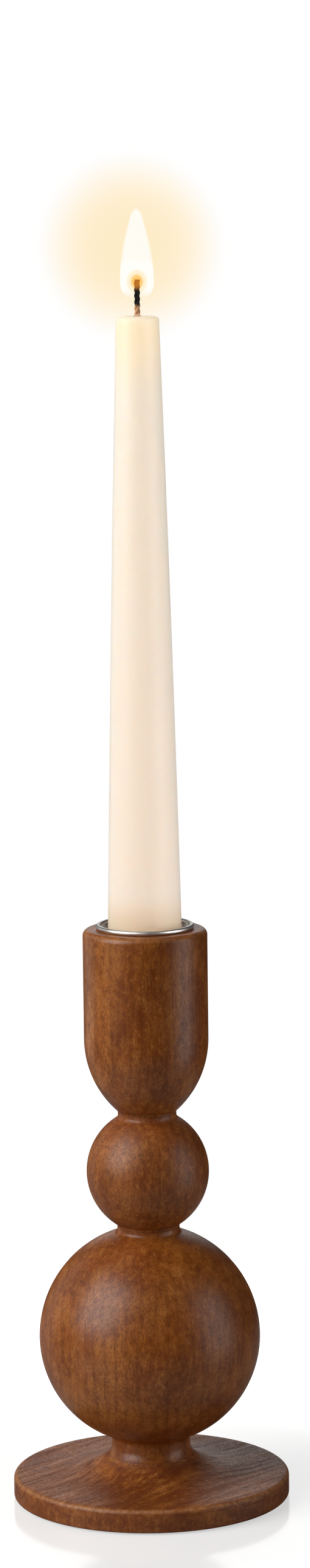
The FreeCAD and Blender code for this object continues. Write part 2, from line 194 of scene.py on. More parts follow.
class CandleSizes(bpy.types.PropertyGroup):
    """Sizes of the candle, its wick and its flame."""

    radius: length_mm("Candle radius", "Radius of the butt", radius_of("candle_wax") / MM)
    butt_chamfer: length_mm("Butt chamfer", "Chamfer of the butt", 1.5)
    top_radius: length_mm("Candle top", "Radius of the candle at its shoulder", 6.35)
    taper_bulge: length_mm("Taper bulge", "How far the taper stands out half way up", 0.25)
    shoulder_round: length_mm("Shoulder", "Rounding of the melted shoulder", 1.1)
    crown_top: length_mm("Crown", "Height of the wax at the wick", 360.25)
    shoulder_drop: length_mm("Shoulder drop", "How far the shoulder lies under the crown", 0.65)
    pool_radius: length_mm("Melt pool", "Radius of the molten wax round the wick", 3.9)
    pool_brim: length_mm("Pool brim", "How far the pool's edge stands over the shoulder", 0.12)
    pool_depth: length_mm("Pool depth", "Depth of the molten wax under its edge", 0.25)
    warm_length: length_mm("Warm length", "How far down the flame's light shows in the wax", 28.0)
    spike_room: length_mm("Spike room", "Free room round the spike in the wax", 0.3)
    wick_radius: length_mm("Wick radius", "Radius of the wick", radius_of("candle_wick") / MM)
    wick_twist: length_mm("Wick twist", "Rise of a strand of the wick in one turn", 5.5)
    wick_room: length_mm("Wick room", "Free room round the wick in the wax", 0.02)
    wick_bore_depth: length_mm("Wick bore", "Depth of the wax's bore round the wick", 6.0)
    flame_top: length_mm("Flame tip", "Height of the flame's tip", 391.3)
    flame_neck: length_mm("Flame neck", "Height at which the blunt tip starts", 387.3)
    flame_neck_radius: length_mm("Neck radius", "Radius of the flame under its tip", 2.2)
    flame_tip_drop: length_mm("Tip centre", "How far under the neck the tip is centred", 2.0)
    flame_widest: length_mm("Flame belly", "Height at which the flame is widest", 369.4)
    flame_radius: length_mm("Flame radius", "Widest radius of the flame", 5.0)
    flame_bottom: length_mm("Flame base", "Height of the flame's lower end", 364.4)
    flame_fade: length_mm("Flame fade", "Height over which the flame's foot fades in", 3.4)
    flame_layer_step: amount(
        "Layer step", "How much smaller the inner mantle is", 0.15, max=0.3, subtype="FACTOR",
    )
    flame_low_share: amount(
        "Lower share", "How much a mantle hides where it stands alone", 0.95, max=1.0,
        subtype="FACTOR",
    )
    flame_high_share: amount(
        "Upper share", "How much each of two mantles hides", 0.6, max=1.0, subtype="FACTOR",
    )
    glow_share: amount("Glow share", "How much the glow hides", 0.7, max=1.0, subtype="FACTOR")
    glow_size: amount(
        "Glow size", "Width of the flame's own glow over that of the flame", 1.28, max=2.0,
        subtype="FACTOR",
    )
    haze_radius: length_mm("Ember haze", "Radius of the yellow haze round the ember", 3.2)
    haze_core: length_mm("Haze core", "Radius of its denser, orange middle", 1.9)
    haze_density: amount("Haze density", "How much light a metre of the haze holds back", 95)
    haze_core_density: amount("Core density", "How much a metre of its middle holds back", 430)
    haze_stretch: amount("Haze stretch", "Height of the haze over its width", 1.15)
    haze_drop: length_mm("Haze drop", "How far under the wick's end the haze is centred", 0.6)


class StandColours(bpy.types.PropertyGroup):
    """Colours of the finishes without light or shade, but a few also paint light and shade."""

    wood: colour("Wood", "Walnut-stained beech, its golden tone", "#9C5618")
    wood_red: colour("Red stain", "Where the stain turned redder", "#8C4515")
    wood_dark: colour("Dark stain", "Where the stain soaked in", "#672E06")
    wood_light: colour("Light stain", "Fibres that took less stain", "#B97539")
    wood_pore: colour("Pores", "Stain that filled the pores and flecks", "#3C1B08")
    # Wear, and also painted highlights on rounded edges and painted light on the cup's left edge
    wood_edge_wear_and_highlight: colour("Worn edge", "Wood rubbed through the stain at an edge", "#C08A5C")
    steel: colour("Liner", "Nickel-plated steel of the liner and spike", "#E2DFDA")
    zinc: colour("Zinc", "Zinc-plated steel of the screw and washer", "#A9ACAE")
    beech: colour("Beech", "Plain beech of the dowel pins", "#D2AC7E")
    beech_late: colour("Beech late wood", "Darker late wood and flecks of the beech", "#B98A5A")
    felt: colour("Felt", "Wool felt under the foot", "#3A2A20")
    felt_light: colour("Felt fibre", "Lighter fibres of the felt", "#5C4636")
    wax: colour("Wax", "Ivory wax", "#F6E2D3")
    # Painted light of the flame in the wax
    wax_painted_flame_light: colour("Warm wax", "Wax close to the flame", "#F8D9BB")
    # Painted shade of the rim on the wax
    wax_painted_rim_shade: colour("Seated wax", "Wax at the socket, which the rim shades", "#E5CBAE")
    wick_cotton: colour("Wick", "Wax-soaked cotton", "#C99C72")
    wick_char: colour("Burnt wick", "Charred cotton", "#0B0806")
    wick_ember: colour("Ember", "Glowing end of the wick", "#B97A34")
    flame: colour("Flame", "Luminous mantle of the flame", "#FFFFFA")
    flame_glow: colour("Flame glow", "Glow round the flame, which a pale room shows", "#FEECC9")
    haze: colour("Haze", "Light that the glowing soot lets through", "#FFDD59")


class StageSettings(bpy.types.PropertyGroup):
    """The camera, lamps, floor and background."""

    camera_place: place_of("Camera place", "Where the camera stands", (0.00358, -1.332, 0.406))
    camera_pitch: angle("Camera pitch", "How far the camera looks down", 7.951)
    camera_roll: angle("Camera roll", "Turn of the camera about its line of sight", -0.685)
    camera_lens: FloatProperty(
        name="Lens", description="Focal length on a sensor 36 mm high", default=102.9,
        min=1.0, unit="CAMERA",
    )
    window_radiance: amount("Left box", "Brightness of the large softbox at the left", 4.85)
    strip_radiance: amount("Right box", "Brightness of the softbox at the right", 1.75)
    rim_radiance: amount("Left rim", "Brightness of the weak box behind at the left", 0.5)
    wax_fill: amount("Wax fill", "Brightness of the lamp that only the candle takes", 2.6)
    liner_fill: amount("Liner fill", "Brightness of the papers that only the liner mirrors", 1.25)
    back_wall: amount("Back paper", "Brightness of the paper behind the object", 1.0)
    front_room: amount("Dark room", "Brightness of the rest of the studio", 0.014)
    backdrop_size: length_mm("Backdrop", "Side of the square of white paper", 1300)
    glow_place: place_of(
        "Glow place", "Middle of the flame's glow on the backdrop", (-0.0035, 0.5, 0.3706),
    )
    glow_radius: length_mm("Glow radius", "Radius of the flame's glow on the backdrop", 40.5)
    glow_colour: colour("Glow", "Colour of the middle of the glow", "#FEECC8")
    floor_radius: length_mm("Floor radius", "Radius of the floor", 300)
    floor_sheet: colour("Floor sheet", "Colour of the white sheet under the lamps", "#BBBAB8")


class CandleStandSettings(bpy.types.PropertyGroup):
    """All settings of the candle stand."""

    wood: PointerProperty(type=WoodSizes)
    metal: PointerProperty(type=MetalSizes)
    candle: PointerProperty(type=CandleSizes)
    colours: PointerProperty(type=StandColours)
    stage: PointerProperty(type=StageSettings)


class Outline:
    """A line of points in the XZ plane that grows from its tip, to be turned round the Z axis."""

    def __init__(self, radius, height, mesh=None):
        self.mesh = bmesh.new() if mesh is None else mesh
        self.tip = self.mesh.verts.new((radius, 0, height))

    def line(self, radius=None, height=None, steps=1):
        """Grow a straight side to a radius, a height or both."""
        start = self.tip.co
        end = (start.x if radius is None else radius, 0, start.z if height is None else height)
        stride = (Vector(end) - start) / steps
        for _ in range(steps):
            made = bmesh.ops.extrude_vert_indiv(self.mesh, verts=[self.tip])
            self.tip = made["verts"][0]
            bmesh.ops.translate(self.mesh, verts=[self.tip], vec=stride)

    def arc(self, centre_radius, centre_height, turn, steps, flatten=1.0):
        """Grow an arc about a centre. A positive turn goes from +X towards +Z.

        flatten squeezes the arc's height towards its centre, which makes it an ellipse's arc.
        """
        start = self.tip
        centre = Vector((centre_radius, 0, centre_height))
        squeeze = Matrix.Translation(-centre)
        known = set(self.mesh.verts) - {start}
        bmesh.ops.scale(self.mesh, vec=(1, 1, 1 / flatten), space=squeeze, verts=[start])
        made = bmesh.ops.spin(
            self.mesh, geom=[start], cent=centre, axis=(0, -1, 0), angle=turn, steps=steps,
            use_merge=False, use_duplicate=False,
        )
        self.tip = [part for part in made["geom_last"] if isinstance(part, bmesh.types.BMVert)][0]
        swept = [vert for vert in self.mesh.verts if vert not in known]
        bmesh.ops.scale(self.mesh, vec=(1, 1, flatten), space=squeeze, verts=swept)

    def arc_to(self, centre_radius, centre_height, radius, height, steps, flatten=1.0):
        """Grow an arc about a centre to a point, the short way round."""
        here = self.tip.co
        start = math.atan2((here.z - centre_height) / flatten, here.x - centre_radius)
        end = math.atan2((height - centre_height) / flatten, radius - centre_radius)
        turn = (end - start + math.pi) % math.tau - math.pi
        self.arc(centre_radius, centre_height, turn, steps, flatten)

    def bend(self, across, up, turn, steps):
        """Grow an arc about a centre that lies across and up from the tip."""
        self.arc(self.tip.co.x + across, self.tip.co.z + up, turn, steps)

    def leave_neck(self, swell, neck_radius, cove):
        """Go up a neck and through the cove that leads to a swell."""
        cove_centre, touch = cove_at(swell, neck_radius, cove, -1)
        self.line(height=cove_centre[1])
        self.arc_to(*cove_centre, *touch, 10)

    def reach_neck(self, swell, neck_radius, cove, steps):
        """Go up over a swell and through the cove that leads to a neck."""
        cove_centre, touch = cove_at(swell, neck_radius, cove, 1)
        self.arc_to(*swell[:2], *touch, steps)
        self.arc_to(*cove_centre, neck_radius, cove_centre[1], 10)


def cove_rise(swell_radius, arc, neck_radius, cove):
    """How far from the middle of a swell the centre of the cove that touches it lies."""
    return math.sqrt((arc + cove) ** 2 - (neck_radius + cove - swell_radius + arc) ** 2)


def cove_at(swell, neck_radius, cove, side):
    """The centre of a cove and the point at which it touches a swell, over it or, at -1, under it.

    A swell is the radius and height of its arc's centre, and the arc's own radius.
    """
    centre_radius, centre_height, arc = swell
    across = neck_radius + cove - centre_radius
    up = side * cove_rise(centre_radius + arc, arc, neck_radius, cove)
    share = arc / (arc + cove)
    touch = (centre_radius + across * share, centre_height + up * share)
    return (neck_radius + cove, centre_height + up), touch


def turned_mesh(outline, steps, closed=False):
    """Turn an outline round the Z axis. A closed outline gets its last side first."""
    mesh = outline.mesh
    mesh.verts.ensure_lookup_table()
    if closed:
        mesh.edges.new((outline.tip, mesh.verts[0]))
    bmesh.ops.spin(
        mesh, geom=mesh.verts[:] + mesh.edges[:], cent=(0, 0, 0), axis=(0, 0, 1),
        angle=math.tau, steps=steps, use_merge=True, use_duplicate=False,
    )
    bmesh.ops.remove_doubles(mesh, verts=mesh.verts, dist=0.001 * MM)
    bmesh.ops.recalc_face_normals(mesh, faces=mesh.faces)
    return mesh


def wind_up(mesh, face, rise, turns, turn_steps):
    """Wind a section up round the Z axis."""
    steps = round(turns * turn_steps)
    bmesh.ops.spin(
        mesh, geom=[face] + face.edges[:] + face.verts[:], cent=(0, 0, 0), axis=(0, 0, 1),
        dvec=(0, 0, rise / steps), angle=turns * math.tau, steps=steps,
        use_merge=False, use_duplicate=False,
    )


def add_piece(name, mesh, material, crease_deg=32.0):
    """Make an object of a bmesh, smooth but for edges sharper than the crease."""
    data = bpy.data.meshes.new(name)
    mesh.to_mesh(data)
    mesh.free()
    for face in data.polygons:
        face.use_smooth = True
    data.set_sharp_from_angle(angle=math.radians(crease_deg))
    data.materials.append(material)
    piece = bpy.data.objects.new(name, data)
    bpy.context.scene.collection.objects.link(piece)
    return piece


def seat_piece(piece, body, slot, *nodes):
    """Let a piece ride on its body and stand for its nodes; its slot is not used."""
    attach(piece, body)
    if nodes:
        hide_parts(*nodes)


def dress_node(name, material):
    """Give a node of the frame that keeps its shape its material."""
    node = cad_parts[name]
    node.data.materials.clear()
    node.data.materials.append(material)


def add_node(tree, kind, *inputs, **settings):
    """Add a node with its settings and links.

    inputs fill the sockets in use in their order. A setting with a small first letter is an
    option of the node, and one with a capital is a socket, with _ for a blank. A socket takes a
    value, another node's output, or a node, which stands for its first output in use.
    """
    node = tree.nodes.new("ShaderNode" + kind)
    filled = []
    for name, value in settings.items():
        if name[0].islower():
            setattr(node, name, value)
        else:
            filled.append((node.inputs[name.replace("_", " ")], value))
    in_use = [socket for socket in node.inputs if socket.enabled]
    for socket, value in [*zip(in_use, inputs), *filled]:
        if isinstance(value, bpy.types.Node):
            value = [output for output in value.outputs if output.enabled][0]
        if isinstance(value, bpy.types.NodeSocket):
            tree.links.new(value, socket)
        else:
            socket.default_value = value
    return node


def new_material(name):
    """A material and its empty tree."""
    material = bpy.data.materials.new(name)
    material.use_nodes = True
    material.node_tree.nodes.clear()
    return material, material.node_tree


def mm_coordinates(tree, rotation=(0, 0, 0), location=(0, 0, 0)):
    """Object coordinates in millimetres, turned and moved for a pattern."""
    place = add_node(tree, "TexCoord").outputs["Object"]
    return add_node(tree, "Mapping", place, location, rotation, (1 / MM,) * 3)


def height_in(tree):
    """The height over the table in metres."""
    place = add_node(tree, "TexCoord").outputs["Object"]
    return add_node(tree, "SeparateXYZ", place).outputs["Z"]


def section_in(tree):
    """The radius and the height in millimetres, for what runs round the axis."""
    place = mm_coordinates(tree)
    across = add_node(tree, "VectorMath", place, (1, 1, 0), operation="MULTIPLY")
    radius = add_node(tree, "VectorMath", across, operation="LENGTH")
    height = add_node(tree, "SeparateXYZ", place).outputs["Z"]
    return add_node(tree, "CombineXYZ", radius, height)


def specks(tree, coordinates, size_mm, stretch=1, detail=2, roughness=0.5, **settings):
    """Random specks of about size_mm, longer along the grain by the stretch."""
    place = add_node(tree, "Mapping", coordinates, Scale=(1, 1, 1 / stretch))
    return add_node(
        tree, "TexNoise", place, Scale=1 / size_mm, Detail=detail, Roughness=roughness, **settings
    )


def tint(tree, tone, *tints):
    """Tint a colour, each time as a value goes from a start to an end, by a share and a shade."""
    for value, start, end, most, shade in tints:
        share = add_node(tree, "MapRange", value, start, end, 0, most, **SMOOTH)
        tone = add_node(tree, "Mix", share, tone, shade, data_type="RGBA")
    return tone


def finish_material(material, relief, depth_mm, strength, invert=False, **surface):
    """End a material with its relief, which is as deep as depth_mm, and its surface."""
    tree = material.node_tree
    bump = add_node(
        tree, "Bump", invert=invert, Strength=strength, Distance=depth_mm * MM, Height=relief,
    )
    shader = add_node(tree, "BsdfPrincipled", Normal=bump, **surface)
    add_node(tree, "OutputMaterial", shader)
    return material


def wood_material(name, colours, turn, pith, streak, gloss, patches, edge_rings):
    """Beech, turned, sanded, stained walnut and sprayed with a satin lacquer.

    The stain sinks unevenly into beech, so the tone wanders between gold and red brown, with dark
    pores and ray flecks a few tenths of a millimetre wide along the grain. The lacquer leaves a
    broad soft gloss in which the pores show as a speckle.
    turn brings the pattern's Z along the grain, and pith is where the middle of the tree lies.
    streak is how strong the bands along the grain are, and gloss holds the roughness of the
    lacquer between the pores and over them.
    patches are those of stain_and_painted_light_patches: where the stain was wiped thin or
    left to soak in, and painted light and shade, such as painted bounce light low on the ball
    and painted shade down the front between the two lamps.
    edge_rings are the rings of ringed_tone: rubbed edges with a painted highlight, and end
    grain that took more stain, with painted shade on the foot's side.
    """
    material, tree = new_material(name)
    grain = mm_coordinates(tree, turn, pith)

    # Growth rings, 3.2 mm apart, bent by a slow drift of the trunk
    drift = specks(tree, grain, 24, 7).outputs["Color"]
    centred = add_node(tree, "VectorMath", drift, (0.5, 0.5, 0.5), operation="SUBTRACT")
    bent = add_node(tree, "VectorMath", centred, (14, 14, 0), grain, operation="MULTIPLY_ADD")
    rings = add_node(
        tree, "TexWave", bent, wave_type="RINGS", rings_direction="Z", wave_profile="SAW",
        Scale=math.tau / 20 / 3.2, Distortion=1.2, Detail=2, Detail_Scale=0.4,
    )

    red = specks(tree, grain, 17, 1.6, 3, 0.55)
    cloud = specks(tree, grain, 10, 1.3)
    blotch = specks(tree, grain, 5.5, 1.8, 5, 0.65)
    mottle = specks(tree, grain, 1.5, 1.3, 4, 0.7)
    fibre = specks(tree, grain, 0.55, 20, 3, 0.6)
    # Bands of early and late wood, cut at a slant, run with the grain for a few centimetres.
    band = specks(tree, grain, 1.9, 16, 3, 0.55)
    # Flecks and pores are really 0.1 to 0.2 mm wide, and are drawn twice as wide to show at all.
    fleck = specks(tree, grain, 0.42, 11, 1, 0.4)
    pores = specks(tree, grain, 0.42, 2.2, 2, 0.7)
    # Flecks come in patches
    fleck_dark = add_node(tree, "MapRange", fleck, 0.58, 0.74, 0, 0.45, **SMOOTH)
    patch = specks(tree, grain, 12, 1.5, 1)
    fleck_patch = add_node(tree, "MapRange", patch, 0.42, 0.6, 0.1, 1, **SMOOTH)
    fleck_share = add_node(tree, "Math", fleck_dark, fleck_patch, operation="MULTIPLY")

    dark, light = colours.wood_dark, colours.wood_light
    tone = tint(
        tree, colours.wood,
        (red, 0.4, 0.62, 0.85, colours.wood_red),
        (cloud, 0.5, 0.68, 0.55, dark),
        (cloud, 0.5, 0.34, 0.4, light),
    )
    tone = stain_and_painted_light_patches(tree, tone, patches)
    tone = tint(
        tree, tone,
        (blotch, 0.46, 0.74, 0.62, dark),
        (blotch, 0.5, 0.28, 0.45, light),
        (mottle, 0.5, 0.7, 0.68, dark),
        (mottle, 0.5, 0.3, 0.6, light),
        (fibre, 0.42, 0.75, 0.26, light),
        (band, 0.52, 0.7, streak, dark),
        (band, 0.48, 0.3, streak * 0.8, light),
        (rings.outputs["Fac"], 0.5, 1, 0.3, dark),
        (pores, 0.44, 0.68, 0.62, dark),
    )
    tone = add_node(tree, "Mix", fleck_share, tone, colours.wood_pore, data_type="RGBA")
    tone = ringed_tone(tree, tone, edge_rings)

    # The lacquer sinks a few hundredths of a millimetre into pores and flecks
    relief = add_node(tree, "Math", pores, 0.8, fleck, operation="MULTIPLY_ADD")
    # Hard bands polish better than soft ones
    open_grain = add_node(tree, "Math", band, streak, pores, operation="MULTIPLY_ADD")
    rough = add_node(
        tree, "MapRange", open_grain, 0.3 + 0.35 * streak, 0.7 + 0.65 * streak, *gloss, **SMOOTH
    )
    return finish_material(
        material, relief, depth_mm=0.03, strength=0.8, invert=True, Base_Color=tone,
        Roughness=rough, IOR=1.45,
    )


def grain_turn(grain, across):
    """The turn that brings the pattern's Z along the grain, and its X along another direction."""
    along = Vector(grain).normalized()
    side = Vector(across).normalized()
    return Matrix((side, along.cross(side), along)).to_euler()


def stain_and_painted_light_patches(tree, tone, patches):
    """Tint ragged patches, each a centre and half its size in millimetres, a share and a shade."""
    # Some patches are stain and some are painted light and shade.
    place = mm_coordinates(tree)
    wander = specks(tree, place, 7, 1.2, 4, 0.6)
    for centre, half_size, share, shade in patches:
        away = add_node(tree, "VectorMath", place, centre, operation="SUBTRACT")
        scaled = add_node(tree, "VectorMath", away, half_size, operation="DIVIDE")
        reach = add_node(tree, "VectorMath", scaled, operation="LENGTH")
        ragged = add_node(tree, "Math", wander, 2, reach, operation="MULTIPLY_ADD")
        tone = tint(tree, tone, (ragged, 2.4, 1.5, share, shade))
    return tone


def ringed_tone(tree, tone, rings):
    """Tint narrow rings round the axis.

    Each ring is a radius, a height, a width and a strength, the first three in millimetres, and
    a shade.
    """
    section = section_in(tree)
    # Open end grain shows as upright ticks
    ticks = specks(tree, mm_coordinates(tree), 1.3, 6, 3, 0.6)
    open_grain = add_node(tree, "MapRange", ticks, 0.36, 0.62, 0.3, 1, **SMOOTH)
    # Some rings are painted highlights and painted shade, beside dark joints and end grain.
    for radius, height, width, strength, shade in rings:
        away = add_node(tree, "VectorMath", section, (radius, height, 0), operation="DISTANCE")
        near = add_node(tree, "MapRange", away, width, 0, 0, strength, **SMOOTH)
        share = add_node(tree, "Math", near, open_grain, operation="MULTIPLY")
        tone = add_node(tree, "Mix", share, tone, shade, data_type="RGBA")
    return tone


def steel_material(name, tone, roughness, line_mm):
    """Sheet steel, drawn and spun, then plated bright.

    It mirrors the boxes and the dark room, blurred a little, with fine turning lines round it.
    line_mm is how far apart the lines lie. Real ones are finer than shows, so these are coarse.
    """
    material, tree = new_material(name)
    lines = specks(tree, section_in(tree), line_mm, detail=3)
    smudge = specks(tree, mm_coordinates(tree), 4, detail=4)
    rough = add_node(tree, "MapRange", smudge, 0.35, 0.7, roughness * 0.9, roughness * 1.25)
    dulled = add_node(tree, "MapRange", smudge, 0.3, 0.8, 1, 0.86)
    tinted = add_node(tree, "VectorMath", tone[:3], dulled, operation="SCALE")
    return finish_material(
        material, lines, depth_mm=0.01, strength=0.25, Base_Color=tinted, Metallic=1,
        Roughness=rough,
    )


def beech_material(colours):
    """Plain beech dowel, milled and left raw: pale, dull, with fibres along it and short flecks."""
    material, tree = new_material("raw_beech")
    fibre = specks(tree, mm_coordinates(tree), 0.6, 12.5, 4)
    share = add_node(tree, "MapRange", fibre, 0.35, 0.7)
    tone = add_node(tree, "Mix", share, colours.beech, colours.beech_late, data_type="RGBA")
    return finish_material(
        material, fibre, depth_mm=0.04, strength=0.5, Base_Color=tone, Roughness=0.68, IOR=1.5,
    )


def felt_material(colours):
    """Pressed wool felt: no gloss, a soft sheen, and tangled fibres 0.8 mm apart."""
    material, tree = new_material("wool_felt")
    fibre = specks(tree, mm_coordinates(tree), 0.8, 1, 4, 0.75, Distortion=2.5)
    share = add_node(tree, "MapRange", fibre, 0.4, 0.7)
    tone = add_node(tree, "Mix", share, colours.felt, colours.felt_light, data_type="RGBA")
    return finish_material(
        material, fibre, depth_mm=0.15, strength=0.9, Base_Color=tone, Roughness=1,
        Sheen_Weight=0.4,
    )


def wax_material(colours, sizes):
    """Ivory candle wax, dipped and drawn.

    Light travels several millimetres in it, so shade is soft and warm. The last centimetres under
    the flame glow with painted light, a warmer tint and light of the wax's own, which it also
    gives off more faintly all along. The skin has a low, slightly waxy gloss and long, shallow
    ripples.
    """
    material, tree = new_material("ivory_wax")
    height = height_in(tree)
    skin = specks(tree, mm_coordinates(tree), 3.5, 20 / 3, 3, 0.45)
    crown = sizes.crown_top
    warm_end = crown - sizes.warm_length
    # Painted light: the wax turns warmer towards the flame.
    tone = tint(tree, colours.wax, (height, warm_end, crown, 1, colours.wax_painted_flame_light))
    # Painted shade of the rim on the wax, for about a centimetre over it and in the socket.
    rim = top_of("socket_liner") - 1 * MM
    over_rim = add_node(tree, "MapRange", height, rim + 12 * MM, rim, **SMOOTH)
    under_rim = add_node(tree, "MapRange", height, rim - 11 * MM, rim, **SMOOTH)
    painted_rim_shade = add_node(tree, "Math", over_rim, under_rim, operation="MULTIPLY")
    tone = add_node(tree, "Mix", painted_rim_shade, tone, colours.wax_painted_rim_shade, data_type="RGBA")
    rough = add_node(tree, "MapRange", skin, 0.3, 0.7, 0.36, 0.5)
    # Painted glow: the wax gives off light of its own, faintly all along and more under the flame.
    glow = add_node(tree, "MapRange", height, warm_end, crown, 0.13, 0.28, **SMOOTH)
    return finish_material(
        material, skin, depth_mm=0.12, strength=0.35, Base_Color=tone, Roughness=rough, IOR=1.44,
        Subsurface_Weight=1, Subsurface_Radius=(1, 0.72, 0.5), Subsurface_Scale=20 * MM,
        Emission_Color=tone, Emission_Strength=glow,
    )


def wick_material(colours, sizes):
    """Twisted cotton wick: waxed below, charred to matt black, and an ember at its end."""
    material, tree = new_material("burnt_cotton_wick")
    height = height_in(tree)
    fibre = specks(tree, mm_coordinates(tree), 0.35, detail=3)
    crown, end = sizes.crown_top, top_of("candle_wick")
    tone = tint(
        tree, colours.wick_cotton,
        (height, crown + 2 * MM, crown + 3.2 * MM, 1, colours.wick_char),
    )
    ember = add_node(tree, "MapRange", height, end - 3.4 * MM, end - 1.6 * MM, **SMOOTH)
    return finish_material(
        material, fibre, depth_mm=0.08, strength=0.8, Base_Color=tone, Roughness=0.9,
        Emission_Color=colours.wick_ember, Emission_Strength=ember,
    )


def flame_material(name, tone, sizes, bottom, low_share, high_share):
    """A candle flame: what glows hides a share of what lies behind it, and none at its foot.

    low_share holds beside the haze, where one mantle stands alone, and high_share above it.
    """
    material, tree = new_material(name)
    height = height_in(tree)
    over, fade = haze_top(sizes), sizes.flame_fade
    foot = add_node(tree, "MapRange", height, bottom, bottom + fade, **SMOOTH)
    share = add_node(tree, "MapRange", height, over, over + fade, low_share, high_share, **SMOOTH)
    glowing = add_node(tree, "Math", foot, share, operation="MULTIPLY")
    # Only the far side of a mantle glows, so that the wick stands out against it.
    side = add_node(tree, "NewGeometry").outputs["Backfacing"]
    far = add_node(tree, "Math", glowing, side, operation="MULTIPLY")
    clear = add_node(tree, "BsdfTransparent")
    light = add_node(tree, "Emission", tone)
    both = add_node(tree, "MixShader", far, clear, light)
    add_node(tree, "OutputMaterial", both)
    return material


def haze_top(sizes):
    """The height at which the haze ends, and the inner mantle and the glow start."""
    return top_of("candle_wick") - sizes.haze_drop + sizes.haze_radius * sizes.haze_stretch


def haze_material(name, colours, density):
    """Glowing soot round the ember, a thin haze through which the flame looks yellow.

    It holds back green and blue light all through, so it fades out softly towards its edge.
    """
    material, tree = new_material(name)
    clear = add_node(tree, "BsdfTransparent")
    soot = add_node(tree, "VolumeAbsorption", colours.haze, density)
    add_node(tree, "OutputMaterial", Surface=clear, Volume=soot)
    return material


def floor_material(settings):
    """A glossy white acrylic sheet, which shows pure white but for the object's shade and mirror.

    Near the object it is lit by the lamps in part, so that the shadow stays. The rest is light
    that only the camera sees, and further out that makes the sheet plain white.
    """
    material, tree = new_material("white_acrylic_floor")
    place = add_node(tree, "TexCoord").outputs["Object"]
    away = add_node(tree, "VectorMath", place, operation="LENGTH")
    white = add_node(tree, "MapRange", away, 70 * MM, 140 * MM, 0.56, 1, **SMOOTH)
    camera = add_node(tree, "LightPath").outputs["Is Camera Ray"]
    seen = add_node(tree, "Math", white, camera, operation="MULTIPLY")
    light = add_node(tree, "Emission", WHITE, seen)
    sheet = add_node(
        tree, "BsdfPrincipled", Base_Color=settings.floor_sheet, Roughness=0.12, IOR=1.49,
    )
    both = add_node(tree, "AddShader", sheet, light)
    add_node(tree, "OutputMaterial", both)
    return material


def backdrop_material(settings):
    """White paper, lit to plain white, with the warm glow of the flame on it.

    The glow fades out smoothly from its middle. Only the paper's front is seen, and from behind
    it isn't there.
    """
    material, tree = new_material("white_paper_backdrop")
    place = add_node(tree, "TexCoord").outputs["Object"]
    away = add_node(tree, "VectorMath", place, settings.glow_place, operation="SUBTRACT")
    square = add_node(tree, "VectorMath", away, away, operation="DOT_PRODUCT")
    tone = tint(tree, WHITE, (square, settings.glow_radius ** 2, 0, 1, settings.glow_colour))
    light = add_node(tree, "Emission", tone)
    clear = add_node(tree, "BsdfTransparent")
    side = add_node(tree, "NewGeometry").outputs["Backfacing"]
    both = add_node(tree, "MixShader", side, light, clear)
    add_node(tree, "OutputMaterial", both)
    return material


def light_world(settings):
    """White for the camera; for the object, white paper behind it in an otherwise dark room."""
    world = bpy.data.worlds.new("studio")
    world.use_nodes = True
    tree = world.node_tree
    tree.nodes.clear()
    ways = add_node(tree, "LightPath").outputs
    place = add_node(tree, "TexCoord").outputs["Generated"]
    # The paper is round, white within 9 degrees of its middle, and fades out by 21.5 degrees.
    paper_way = (0, 0.956, 0.292)
    towards = add_node(tree, "VectorMath", place, paper_way, operation="DOT_PRODUCT")
    paper = add_node(
        tree, "MapRange", towards, 0.93, 0.988, settings.front_room, settings.back_wall, **SMOOTH
    )
    seen = add_node(
        tree, "Math", ways["Is Camera Ray"], ways["Is Transmission Ray"], operation="MAXIMUM",
    )
    strength = add_node(tree, "Math", seen, paper, operation="MAXIMUM")
    background = add_node(tree, "Background", WHITE, strength)
    add_node(tree, "OutputWorld", background)
    bpy.context.scene.world = world


def add_softbox(name, radiance, direction, distance, width, height):
    """A rectangular lamp that faces the object from a direction."""
    lamp = bpy.data.lights.new(name, "AREA")
    lamp.shape = "RECTANGLE"
    lamp.size = width
    lamp.size_y = height
    lamp.energy = radiance * math.pi * width * height
    piece = bpy.data.objects.new(name, lamp)
    bpy.context.scene.collection.objects.link(piece)
    aim = Vector((0, 0, 0.1))
    towards = Vector(direction).normalized()
    piece.location = aim + towards * distance
    piece.rotation_euler = towards.to_track_quat("Z", "Y").to_euler()
    return piece


def settings_of(context):
    return context.scene.candle_stand


def sweep_of(wood):
    """How far the foot's hollow sweep is flattened, and its radius where the ball sits on it."""
    width = wood.sweep_radius - wood.foot_neck_radius
    drop = wood.foot_neck - wood.foot_rim_top
    seat_turn = math.asin((wood.foot_neck - top_of("foot_disc")) / drop)
    return drop / width, wood.sweep_radius - width * math.cos(seat_turn)


